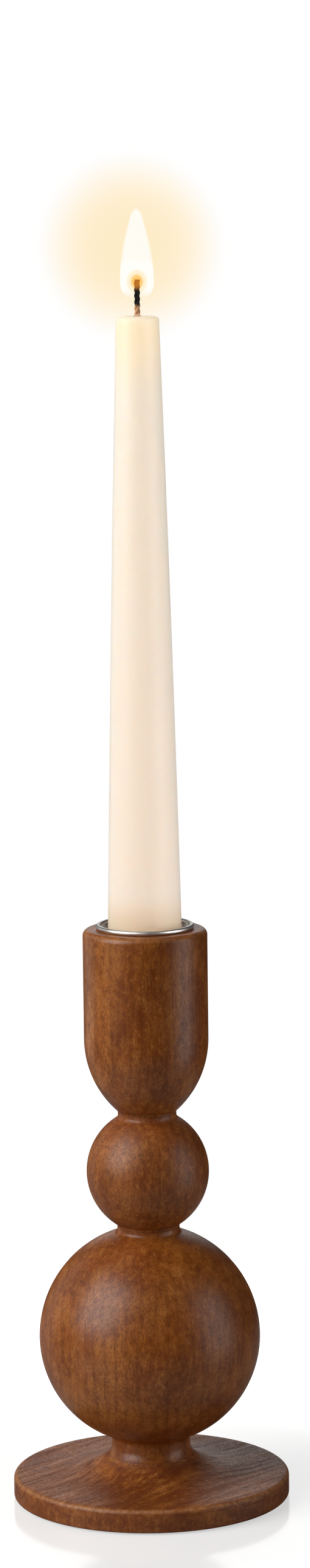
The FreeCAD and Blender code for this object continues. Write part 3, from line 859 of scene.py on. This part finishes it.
class CANDLESTAND_OT_foot(bpy.types.Operator):
    """Turn the foot, with its recess, counterbore and bores"""

    bl_idname = "candle_stand.foot"
    bl_label = "Foot"

    def execute(self, context):
        settings = settings_of(context)
        wood, colours = settings.wood, settings.colours
        base, seat = bottom_of("foot_disc"), top_of("foot_disc")
        flatten, seat_edge = sweep_of(wood)

        foot = Outline(wood.screw_hole_radius, top_of("screw_washer"))
        foot.line(wood.counterbore_radius)
        foot.line(height=base + wood.foot_recess_depth)
        foot.line(wood.foot_recess_radius)
        foot.line(height=base)
        foot.line(wood.foot_radius - wood.foot_bottom_round)
        foot.bend(0, wood.foot_bottom_round, QUARTER, 8)
        foot.line(height=wood.foot_rim_top - wood.foot_top_round)
        foot.bend(-wood.foot_top_round, 0, QUARTER, 12)
        foot.line(wood.sweep_radius, steps=3)
        foot.arc_to(wood.sweep_radius, wood.foot_neck, seat_edge, seat, 40, flatten)
        foot.line(seat_edge - wood.joint_ease)
        foot.line(wood.tenon_radius + wood.joint_ease)
        foot.line(height=bottom_of("main_ball") - wood.joint_ease)
        foot.line(wood.screw_hole_radius)
        mesh = turned_mesh(foot, wood.turn_steps, closed=True)

        # The grain of the foot lies flat and runs from the front left to the back right.
        material = wood_material(
            "walnut_stained_beech_foot", colours, turn=grain_turn((1, 1, 0), (0, 0, 1)),
            pith=(46, 5, 20), streak=0.75, gloss=(0.36, 0.62),
            # The dark patch in front of the neck is painted shade and painted reflection of the
            # ball, and the bright one at the right back is a painted sheen.
            patches=(
                ((5, -25, 9), (28, 15, 9), 0.75, colours.wood_dark),
                ((-24, -8, 8), (14, 10, 6), 0.25, colours.wood_light),
                ((27, 8, 9), (14, 20, 6), 0.6, colours.wood_light),
            ),
            # The dark band round the side is end grain that took more stain, and painted shade; the
            # light ring on the rounded top edge is wear and a painted highlight.
            edge_rings=(
                (42.2, 3.2, 5.0, 0.7, colours.wood_dark),
                (41.6, 7.1, 1.1, 0.6, colours.wood_edge_wear_and_highlight),
            ),
        )
        piece = add_piece("foot", mesh, material)
        seat_piece(piece, "stand", "walnut_foot", "foot_disc")
        return {"FINISHED"}


class CANDLESTAND_OT_stem(bpy.types.Operator):
    """Turn the ball, the bead and the cup, the three upright pieces of wood"""

    bl_idname = "candle_stand.stem"
    bl_label = "Ball, bead and cup"

    def execute(self, context):
        settings = settings_of(context)
        wood, colours = settings.wood, settings.colours
        dark, light = colours.wood_dark, colours.wood_light
        edge, pore = colours.wood_edge_wear_and_highlight, colours.wood_pore
        # The lip's light ring is a painted highlight on its rounding, with wear.
        lip = (18.2, 175.2, 1.1, 0.35, edge)
        upper_joint = (9.0, 119.7, 0.8, 0.25, pore)
        lower_joint = (9.6, 84.4, 0.8, 0.25, pore)
        foot_joint = (13.4, 13.4, 0.7, 0.5, pore)
        # Among these, the light patches low on the front are painted bounce light from the floor
        # and foot; the dark ones low at the right, faint in the middle of the front and at the left
        # edge are painted shade.
        ball_stain_and_painted_light_patches = (
            ((3, -35, 46), (8, 14, 9), 0.2, dark), ((4, -28, 70), (11, 14, 6), 0.3, dark),
            ((18, -24, 30), (9, 12, 9), 0.6, dark), ((-29, -19, 46), (7, 10, 9), 0.3, dark),
            ((-18, -24, 33), (10, 12, 9), 0.6, light), ((2, -30, 31), (15, 12, 6), 0.7, light),
            ((-6, -29, 64), (9, 12, 7), 0.35, light), ((-11, -33, 50), (8, 10, 7), 0.45, light),
        )
        # Painted shade: the dark band down the front lies between the two lamps, and the faint one
        # at the left dims the sheen there.
        bead_painted_shade_patches = (
            ((3, -18, 101), (6.5, 10, 12), 0.6, dark), ((-14, -12, 98), (8, 9, 9), 0.3, dark),
        )
        # Painted light and shade: the dark band down the front lies between the two lamps, and the
        # two light patches light the left edge.
        cup_painted_light_and_shade_patches = (
            ((2, -20, 150), (5.5, 10, 26), 0.4, dark), ((-15, -13, 152), (8, 9, 24), 0.4, light),
            ((-19, -7, 160), (5, 8, 18), 0.35, edge),
        )
        # Each is cut from another place in the tree.
        for name, outline, node, pith, gloss, patches, rings in (
            ("ball", self.ball(wood), "main_ball", (-52, 24, 0), (0.29, 0.45), ball_stain_and_painted_light_patches,
             (lower_joint, foot_joint)),
            ("bead", self.bead(wood), "middle_bead", (38, 31, 40), (0.36, 0.52), bead_painted_shade_patches,
             (upper_joint, lower_joint)),
            ("cup", self.cup(wood), "cup_body", (-47, -18, 9), (0.29, 0.45), cup_painted_light_and_shade_patches,
             (lip, upper_joint)),
        ):
            material = wood_material(
                "walnut_stained_beech_" + name, colours, turn=(0, 0, 0), pith=pith, streak=0.16,
                gloss=gloss, patches=patches, edge_rings=rings,
            )
            piece = add_piece(name, turned_mesh(outline, wood.turn_steps), material)
            seat_piece(piece, "stand", "walnut_stem", node)
        return {"FINISHED"}

    def ball(self, wood):
        """The ball with its tenon, flared base, coves and holes."""
        seat, joint = top_of("foot_disc"), top_of("main_ball")
        flatten, seat_edge = sweep_of(wood)
        low_arc = wood.ball_radius - wood.ball_advance
        high_arc = wood.ball_radius + wood.ball_setback
        rise = cove_rise(wood.ball_radius, high_arc, wood.lower_neck_radius, wood.ball_cove)
        equator = joint - wood.ball_neck_length - rise
        low_swell = (wood.ball_advance, equator, low_arc)
        high_swell = (-wood.ball_setback, equator, high_arc)

        ball = Outline(0, top_of("foot_screw") + wood.dowel_end_gap)
        ball.line(wood.pilot_radius)
        ball.line(height=bottom_of("main_ball"))
        ball.line(wood.tenon_radius)
        ball.line(height=seat)
        ball.line(seat_edge - wood.joint_ease)
        ball.line(seat_edge)
        ball.arc_to(
            wood.sweep_radius, wood.foot_neck, wood.foot_neck_radius, wood.foot_neck, 10, flatten,
        )
        ball.leave_neck(low_swell, wood.foot_neck_radius, wood.foot_neck_cove)
        ball.arc_to(wood.ball_advance, equator, wood.ball_radius, equator, 48)
        ball.reach_neck(high_swell, wood.lower_neck_radius, wood.ball_cove, 48)
        ball.line(height=joint - wood.joint_ease)
        ball.line(wood.lower_neck_radius - wood.joint_ease, joint)
        ball.line(wood.dowel_hole_radius)
        ball.line(height=bottom_of("lower_dowel") - wood.dowel_end_gap)
        ball.line(0)
        return ball

    def bead(self, wood):
        """The bead between the lower and the upper neck, with a hole in each end."""
        low_joint, high_joint = bottom_of("middle_bead"), top_of("middle_bead")
        arc = wood.bead_radius + wood.bead_setback
        rise = cove_rise(wood.bead_radius, arc, wood.lower_neck_radius, wood.bead_low_cove)
        swell = (-wood.bead_setback, low_joint + wood.bead_low_length + rise, arc)

        bead = Outline(0, top_of("lower_dowel") + wood.dowel_end_gap)
        bead.line(wood.dowel_hole_radius)
        bead.line(height=low_joint)
        bead.line(wood.lower_neck_radius - wood.joint_ease)
        bead.line(wood.lower_neck_radius, low_joint + wood.joint_ease)
        bead.leave_neck(swell, wood.lower_neck_radius, wood.bead_low_cove)
        bead.reach_neck(swell, wood.upper_neck_radius, wood.bead_high_cove, 72)
        bead.line(height=high_joint - wood.joint_ease)
        bead.line(wood.upper_neck_radius - wood.joint_ease, high_joint)
        bead.line(wood.dowel_hole_radius)
        bead.line(height=bottom_of("upper_dowel") - wood.dowel_end_gap)
        bead.line(0)
        return bead

    def cup(self, wood):
        """The cup, with its drawn-in belly, straight wall, rounded lip and the liner's bore."""
        joint, top = bottom_of("cup_body"), top_of("cup_body")
        belly = top - wood.cup_wall
        centre = wood.cup_radius - wood.cup_belly_arc
        swell = (centre, belly, wood.cup_belly_arc)

        cup = Outline(0, top_of("upper_dowel") + wood.dowel_end_gap)
        cup.line(wood.dowel_hole_radius)
        cup.line(height=joint)
        cup.line(wood.upper_neck_radius - wood.joint_ease)
        cup.line(wood.upper_neck_radius, joint + wood.joint_ease / 2)
        cup.leave_neck(swell, wood.upper_neck_radius, wood.cup_low_cove)
        cup.arc_to(centre, belly, wood.cup_radius, belly, 48)
        cup.line(height=top - wood.cup_lip_round, steps=6)
        cup.bend(-wood.cup_lip_round, 0, QUARTER, 14)
        cup.line(wood.cup_mouth_radius)
        cup.bend(0, wood.cup_bore_radius - wood.cup_mouth_radius, QUARTER, 8)
        cup.line(height=wood.cup_bore_floor)
        cup.line(0)
        return cup


class CANDLESTAND_OT_felt(bpy.types.Operator):
    """Cut the felt pad under the foot, with softened edges"""

    bl_idname = "candle_stand.felt"
    bl_label = "Felt pad"

    def execute(self, context):
        settings = settings_of(context)
        low, high = bottom_of("felt_pad"), top_of("felt_pad")
        radius = radius_of("felt_pad")
        edge = (high - low) / 4
        felt = Outline(0, low)
        felt.line(radius - edge, steps=4)
        felt.bend(0, edge, QUARTER, 5)
        felt.line(height=high - edge)
        felt.bend(-edge, 0, QUARTER, 5)
        felt.line(0, steps=4)
        mesh = turned_mesh(felt, settings.wood.turn_steps)
        piece = add_piece("felt", mesh, felt_material(settings.colours))
        seat_piece(piece, "stand", "felt", "felt_pad")
        return {"FINISHED"}


class CANDLESTAND_OT_fasteners(bpy.types.Operator):
    """Finish the dowel pins, screw and washer, and cut the screw's thread"""

    bl_idname = "candle_stand.fasteners"
    bl_label = "Pins and screw"

    def execute(self, context):
        settings = settings_of(context)
        metal = settings.metal
        beech = beech_material(settings.colours)
        zinc = steel_material(
            "zinc_plated_steel", settings.colours.zinc, roughness=0.3, line_mm=0.4,
        )
        dress_node("lower_dowel", beech)
        dress_node("upper_dowel", beech)
        dress_node("foot_screw", zinc)
        dress_node("screw_washer", zinc)

        # One ridge is wound up the shank. Its section is a triangle whose root lies in the shank,
        # and which takes up a little under half of the pitch.
        start = bottom_of("foot_screw") + metal.thread_start
        rise = top_of("foot_screw") - metal.screw_tip - start
        root = metal.shank_radius * 0.96
        crest = metal.shank_radius + metal.thread_depth
        half = metal.thread_pitch * 0.22
        ridge = bmesh.new()
        corners = ((root, 0, start - half), (crest, 0, start), (root, 0, start + half))
        section = ridge.faces.new([ridge.verts.new(corner) for corner in corners])
        wind_up(ridge, section, rise, rise / metal.thread_pitch, turn_steps=24)
        bmesh.ops.recalc_face_normals(ridge, faces=ridge.faces)
        piece = add_piece("screw_thread", ridge, zinc)
        seat_piece(piece, "stand", "zinc_steel")
        return {"FINISHED"}


class CANDLESTAND_OT_liner(bpy.types.Operator):
    """Draw the liner with its bell mouth and rolled rim, and turn its spike"""

    bl_idname = "candle_stand.liner"
    bl_label = "Liner and spike"

    def execute(self, context):
        settings = settings_of(context)
        metal = settings.metal
        steel = steel_material(
            "nickel_plated_steel", settings.colours.steel, roughness=0.36, line_mm=0.25,
        )
        steps = settings.wood.turn_steps
        for name, mesh, node in (
            ("liner", turned_mesh(self.liner(metal), steps, closed=True), "socket_liner"),
            ("spike", turned_mesh(self.spike(metal), steps // 2), "pricket_spike"),
        ):
            piece = add_piece(name, mesh, steel, crease_deg=40)
            seat_piece(piece, "insert", "liner_steel", node)
        return {"FINISHED"}

    def liner(self, metal):
        """The outline of the sheet: out under the floor, up outside, round the rim, down inside."""
        floor = bottom_of("socket_liner") + metal.sheet
        bell, corner, turn, wire = (
            metal.bell_radius, metal.corner_round, metal.bell_turn, metal.rim_wire,
        )
        rim = Vector((radius_of("socket_liner") - wire, 0, top_of("socket_liner") - wire))
        slope = Vector((math.sin(turn), 0, math.cos(turn)))
        across = Vector((-math.cos(turn), 0, math.sin(turn)))
        # The middle of the sheet runs straight from the end of the bell mouth to the rim.
        centre_radius = metal.bore_radius + bell
        half = metal.sheet / 2
        run_out = (rim.x - centre_radius - (bell - half) * across.x) / slope.x
        centre_height = rim.z - (bell - half) * across.z - run_out * slope.z
        # The sheet runs into the rolled rim where the rim is as wide as the sheet is thick.
        meeting = rim - slope * math.sqrt(wire ** 2 - half ** 2)
        under = meeting - across * half
        gap = 2 * math.asin(half / wire)

        sheet = Outline(metal.rivet_hole_radius, bottom_of("socket_liner"))
        sheet.line(metal.bore_radius - corner)
        sheet.bend(0, metal.sheet + corner, QUARTER, 10)
        sheet.line(height=centre_height, steps=4)
        sheet.bend(bell - metal.sheet, 0, -turn, 12)
        sheet.line(under.x, under.z)
        sheet.arc(rim.x, rim.z, math.tau - gap, 40)
        sheet.line(centre_radius + bell * across.x, centre_height + bell * across.z)
        sheet.arc_to(centre_radius, centre_height, metal.bore_radius, centre_height, 14)
        sheet.line(height=floor + corner, steps=4)
        sheet.bend(-corner, 0, -QUARTER, 10)
        sheet.line(metal.rivet_hole_radius)
        return sheet

    def spike(self, metal):
        """The outline of the spike: its riveted end, shank, collar and point."""
        under_floor = bottom_of("socket_liner")
        floor = under_floor + metal.sheet
        bottom, point = bottom_of("pricket_spike"), top_of("pricket_spike")
        edge = metal.edge_round
        spike = Outline(0, bottom)
        spike.line(metal.spike_shank_radius)
        spike.line(metal.spike_rivet_radius, under_floor - (under_floor - bottom) / 3)
        spike.line(height=under_floor)
        spike.line(metal.spike_shank_radius)
        spike.line(height=floor)
        spike.line(metal.spike_collar_radius)
        spike.line(height=floor + metal.spike_collar_height - edge)
        spike.bend(-edge, 0, QUARTER, 5)
        spike.line(metal.spike_radius + edge)
        spike.bend(0, edge, -math.radians(85), 5)
        spike.line(metal.spike_point, point - metal.spike_point, 6)
        spike.bend(-metal.spike_point, 0, QUARTER, 5)
        return spike


class CANDLESTAND_OT_candle(bpy.types.Operator):
    """Dip the candle, with its spike hole, taper and melted crown"""

    bl_idname = "candle_stand.candle"
    bl_label = "Candle"

    def execute(self, context):
        settings = settings_of(context)
        sizes, metal = settings.candle, settings.metal
        butt, socket = bottom_of("candle_wax"), top_of("socket_liner")
        room = sizes.spike_room
        crown = sizes.crown_top
        shoulder = crown - sizes.shoulder_drop - sizes.shoulder_round
        brim = crown - sizes.shoulder_drop + sizes.pool_brim
        pool = brim - sizes.pool_depth
        bore = sizes.wick_radius + sizes.wick_room
        meniscus = bore + crown - pool

        wax = Outline(0, top_of("pricket_spike") + room)
        wax.line(metal.spike_point + room)
        wax.line(metal.spike_radius + room, butt + metal.spike_collar_height + room)
        wax.line(metal.spike_collar_radius + room)
        wax.line(height=butt)
        wax.line(sizes.radius - sizes.butt_chamfer)
        wax.line(sizes.radius, butt + sizes.butt_chamfer)
        wax.line(height=socket, steps=6)
        self.taper(wax, sizes, socket, shoulder)
        wax.arc(sizes.top_radius - sizes.shoulder_round, shoulder, math.radians(85), 12)
        wax.line(sizes.pool_radius, brim, 2)
        wax.arc_to(sizes.pool_radius, pool, sizes.pool_radius - sizes.pool_depth, pool, 5)
        wax.line(meniscus, steps=2)
        wax.arc_to(meniscus, crown, bore, crown, 6)
        wax.line(height=crown - sizes.wick_bore_depth)
        wax.line(0)
        material = wax_material(settings.colours, sizes)
        piece = add_piece("candle", turned_mesh(wax, 128), material, crease_deg=50)
        seat_piece(piece, "candle", "wax", "candle_wax")
        return {"FINISHED"}

    def taper(self, wax, sizes, start, end):
        """A long, slightly bulged taper: a shallow arc from the socket to the shoulder."""
        low = Vector((sizes.radius, 0, start))
        high = Vector((sizes.top_radius, 0, end))
        chord = high - low
        bulge = sizes.taper_bulge
        arc_radius = ((chord.length / 2) ** 2 + bulge ** 2) / (2 * bulge)
        outward = Vector((chord.z, 0, -chord.x)).normalized()
        centre = (low + high) / 2 - outward * (arc_radius - bulge)
        wax.arc_to(centre.x, centre.z, high.x, high.z, 90)


class CANDLESTAND_OT_wick(bpy.types.Operator):
    """Twist the wick from three strands"""

    bl_idname = "candle_stand.wick"
    bl_label = "Wick"

    def execute(self, context):
        settings = settings_of(context)
        sizes = settings.candle
        bottom = bottom_of("candle_wick")
        rise = top_of("candle_wick") - bottom
        strands = 3
        strand_radius = sizes.wick_radius * 0.54
        offset = sizes.wick_radius - strand_radius
        wick = bmesh.new()
        for strand in range(strands):
            made = bmesh.ops.create_circle(wick, cap_ends=True, segments=10, radius=strand_radius)
            verts = made["verts"]
            bmesh.ops.translate(wick, verts=verts, vec=(offset, 0, bottom))
            bmesh.ops.rotate(
                wick, verts=verts, cent=(0, 0, 0),
                matrix=Matrix.Rotation(math.tau * strand / strands, 3, "Z"),
            )
            cap = verts[0].link_faces[0]
            wind_up(wick, cap, rise, rise / sizes.wick_twist, turn_steps=14)
        bmesh.ops.recalc_face_normals(wick, faces=wick.faces)
        material = wick_material(settings.colours, sizes)
        piece = add_piece("wick", wick, material, crease_deg=60)
        seat_piece(piece, "candle", "wick", "candle_wick")
        return {"FINISHED"}


class CANDLESTAND_OT_flame(bpy.types.Operator):
    """Light the flame: mantles, one in the other for a soft edge, and the haze round the ember"""

    bl_idname = "candle_stand.flame"
    bl_label = "Flame"

    def execute(self, context):
        settings = settings_of(context)
        sizes, colours = settings.candle, settings.colours
        outer = self.mantle(sizes, 1)
        mantles = self.mantle(sizes, 1 - sizes.flame_layer_step, outer.mesh, over_haze=True)
        glow = self.mantle(sizes, sizes.glow_size, over_haze=True)
        white = flame_material(
            "candle_flame", colours.flame, sizes, sizes.flame_bottom, sizes.flame_low_share,
            sizes.flame_high_share,
        )
        warm = flame_material(
            "flame_glow", colours.flame_glow, sizes, haze_top(sizes), sizes.glow_share,
            sizes.glow_share,
        )
        for name, mesh, material in (
            ("flame", turned_mesh(mantles, 64), white),
            ("glow", turned_mesh(glow, 64), warm),
            ("haze", self.egg(sizes, sizes.haze_radius),
             haze_material("soot_haze", colours, sizes.haze_density)),
            ("haze_core", self.egg(sizes, sizes.haze_core),
             haze_material("soot_core", colours, sizes.haze_core_density)),
        ):
            piece = add_piece(name, mesh, material, crease_deg=60)
            seat_piece(piece, "candle", "wick")
        return {"FINISHED"}

    def egg(self, sizes, radius):
        """A closed egg round the end of the wick."""
        stretch = sizes.haze_stretch
        middle = top_of("candle_wick") - sizes.haze_drop
        haze = Outline(0, middle - radius * stretch)
        haze.arc_to(0, middle, radius, middle, 14, stretch)
        haze.arc_to(0, middle, 0, middle + radius * stretch, 14, stretch)
        return turned_mesh(haze, 48)

    def mantle(self, sizes, share, mesh=None, over_haze=False):
        """One mantle's outline: a round foot, a side that closes in slowly, and a blunt tip.

        Cycles follows a ray through eight clear surfaces, so the inner mantle and the glow start
        over the haze and are open below, and there are never more behind each other.
        """
        radius = sizes.flame_radius * share
        neck_radius = sizes.flame_neck_radius * share
        widest, neck = sizes.flame_widest, sizes.flame_neck
        tip = neck + (sizes.flame_top - neck) * min(share, 1)
        # The side's arc leaves the widest place upright.
        narrowing = radius - neck_radius
        arc_radius = ((neck - widest) ** 2 + narrowing ** 2) / (2 * narrowing)
        # The tip is an ellipse's arc whose centre lies under the neck.
        middle = neck - sizes.flame_tip_drop
        half_height = tip - middle
        half_width = neck_radius / math.sqrt(1 - (sizes.flame_tip_drop / half_height) ** 2)
        if over_haze:
            rim = haze_top(sizes)
            rim_radius = radius - arc_radius + math.sqrt(arc_radius ** 2 - (rim - widest) ** 2)
            flame = Outline(rim_radius, rim, mesh)
        else:
            bottom = sizes.flame_bottom
            flame = Outline(0, bottom, mesh)
            flame.arc_to(0, widest, radius, widest, 16, (widest - bottom) / radius)
        flame.arc_to(radius - arc_radius, widest, neck_radius, neck, 30)
        flame.arc_to(0, middle, 0, tip, 16, half_height / half_width)
        return flame


class CANDLESTAND_OT_stage(bpy.types.Operator):
    """Set the floor, the background, the lamps, the flame's glow and the camera"""

    bl_idname = "candle_stand.stage"
    bl_label = "Stage"

    def execute(self, context):
        stage = settings_of(context).stage
        floor = bmesh.new()
        bmesh.ops.create_circle(floor, cap_ends=True, segments=96, radius=stage.floor_radius)
        add_piece("floor", floor, floor_material(stage))

        paper = bmesh.new()
        bmesh.ops.create_grid(paper, x_segments=1, y_segments=1, size=stage.backdrop_size / 2)
        upright = Matrix.Rotation(QUARTER, 3, "X")
        bmesh.ops.rotate(paper, verts=paper.verts, cent=(0, 0, 0), matrix=upright)
        middle = (0, stage.glow_place[1], stage.glow_place[2])
        bmesh.ops.translate(paper, verts=paper.verts, vec=middle)
        backdrop = add_piece("backdrop", paper, backdrop_material(stage))
        # The paper is lit on its own, and neither shades nor lights the object.
        backdrop.visible_diffuse = False
        backdrop.visible_glossy = False
        backdrop.visible_shadow = False

        light_world(stage)
        add_softbox("left_box", stage.window_radiance, (-0.75, -0.39, 0.53), 1.2, 0.95, 1.1)
        add_softbox("right_box", stage.strip_radiance, (0.95, -0.25, 0.1), 1.1, 0.66, 1.4)
        add_softbox("left_rim", stage.rim_radiance, (-0.78, 0.6, 0.1), 1.2, 0.75, 1.2)
        # The candle is brighter than its wood: a lamp of its own fills in its shaded side. The
        # liner mirrors two sheets of paper in front, which are too weak to light the wood.
        for piece, radiance, direction in (
            ("candle", stage.wax_fill, (0.8, -0.6, 0.1)),
            ("liner", stage.liner_fill, (-0.5, -0.8, 0.4)),
            ("liner", stage.liner_fill * 1.6, (0.95, -0.4, 0.35)),
        ):
            fill = add_softbox(piece + "_fill", radiance, direction, 1.2, 0.8, 1.0)
            alone = bpy.data.collections.new(piece + "_only")
            alone.objects.link(bpy.data.objects[piece])
            fill.light_linking.receiver_collection = alone

        data = bpy.data.cameras.new("camera")
        data.sensor_width = 36.0
        data.lens = stage.camera_lens
        data.clip_start = 0.01
        data.clip_end = 50.0
        camera = bpy.data.objects.new("camera", data)
        context.scene.collection.objects.link(camera)
        camera.matrix_world = (
            Matrix.Translation(Vector(stage.camera_place))
            @ Matrix.Rotation(QUARTER - stage.camera_pitch, 4, "X")
            @ Matrix.Rotation(stage.camera_roll, 4, "Z")
        )
        context.scene.camera = camera
        context.scene.view_settings.view_transform = "Standard"
        return {"FINISHED"}


OPERATORS = (
    CANDLESTAND_OT_felt,
    CANDLESTAND_OT_foot,
    CANDLESTAND_OT_stem,
    CANDLESTAND_OT_fasteners,
    CANDLESTAND_OT_liner,
    CANDLESTAND_OT_candle,
    CANDLESTAND_OT_wick,
    CANDLESTAND_OT_flame,
    CANDLESTAND_OT_stage,
)


class CANDLESTAND_PT_panel(bpy.types.Panel):
    """The candle stand's operators and settings"""

    bl_idname = "CANDLESTAND_PT_panel"
    bl_label = "Candle Stand"
    bl_space_type = "VIEW_3D"
    bl_region_type = "UI"
    bl_category = "Candle Stand"

    def draw(self, context):
        layout = self.layout
        for operator in OPERATORS:
            layout.operator(operator.bl_idname)
        settings = settings_of(context)
        for group in (
            settings.wood, settings.metal, settings.candle, settings.colours, settings.stage,
        ):
            box = layout.box()
            for name in group.__annotations__:
                box.prop(group, name)


CLASSES = (
    WoodSizes,
    MetalSizes,
    CandleSizes,
    StandColours,
    StageSettings,
    CandleStandSettings,
    *OPERATORS,
    CANDLESTAND_PT_panel,
)


def register():
    for cls in CLASSES:
        bpy.utils.register_class(cls)
    bpy.types.Scene.candle_stand = PointerProperty(type=CandleStandSettings)


def unregister():
    del bpy.types.Scene.candle_stand
    for cls in reversed(CLASSES):
        bpy.utils.unregister_class(cls)


def main():
    register()
    bpy.ops.candle_stand.felt()
    bpy.ops.candle_stand.foot()
    bpy.ops.candle_stand.stem()
    bpy.ops.candle_stand.fasteners()
    bpy.ops.candle_stand.liner()
    bpy.ops.candle_stand.candle()
    bpy.ops.candle_stand.wick()
    bpy.ops.candle_stand.flame()
    bpy.ops.candle_stand.stage()


if __name__ == "__main__":
    main()
